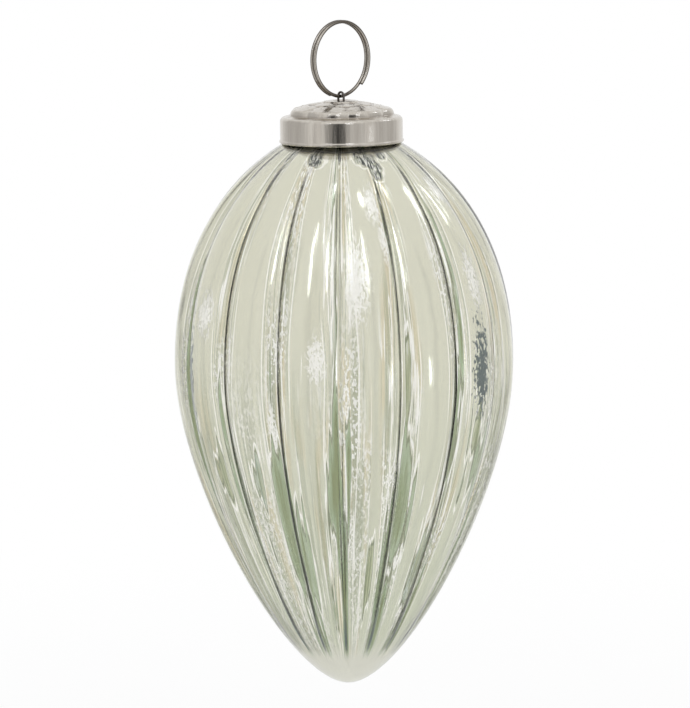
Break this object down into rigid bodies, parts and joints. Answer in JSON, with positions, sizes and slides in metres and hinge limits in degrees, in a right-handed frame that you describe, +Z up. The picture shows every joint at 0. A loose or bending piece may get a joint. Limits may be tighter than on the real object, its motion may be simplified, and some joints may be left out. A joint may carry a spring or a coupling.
{
  "type": "oval christmas bauble",
  "caption": "Hanging egg-shaped ornament of fluted, silvered glass, closed by a stamped metal cap with a wire hanger and a split ring.",
  "frame": {"origin": "the inside of the split ring at its top, between its two turns, where a hook holds it", "axes": "+Z up along the hanging axis, +X along the plane of the split ring, +Y across it; the ring, as hung, is upright over the cap"},
  "size_m": [0.087, 0.087, 0.1721],
  "materials": {
    "ring_wire": "nickel-plated round wire, aged",
    "hanger_wire": "dull dark wire",
    "cap_metal": "nickel-plated stamped sheet, satin",
    "cement": "dry plaster-like cement",
    "silvered_glass": "clear glass, patchy antique silvering inside, pale green-grey"
  },
  "bodies": {
    "ring": {"split_ring": "ring_wire"},
    "hanger": {"hanger_wire": "hanger_wire"},
    "bauble": {"cap": "cap_metal", "cap_cement": "cement", "glass_body": "silvered_glass"}
  },
  "joints": [
    {"name": "ring_swing", "type": "hinge", "parent": "ring", "child": "hanger", "pos_m": [0, 0, -0.01865], "axis": [1, 0, 0], "range_deg": [-96, 96]},
    {"name": "hanger_swivel", "type": "hinge", "parent": "hanger", "child": "bauble", "pos_m": [0, 0, -0.0197], "axis": [0, 0, 1], "continuous": true}
  ]
}
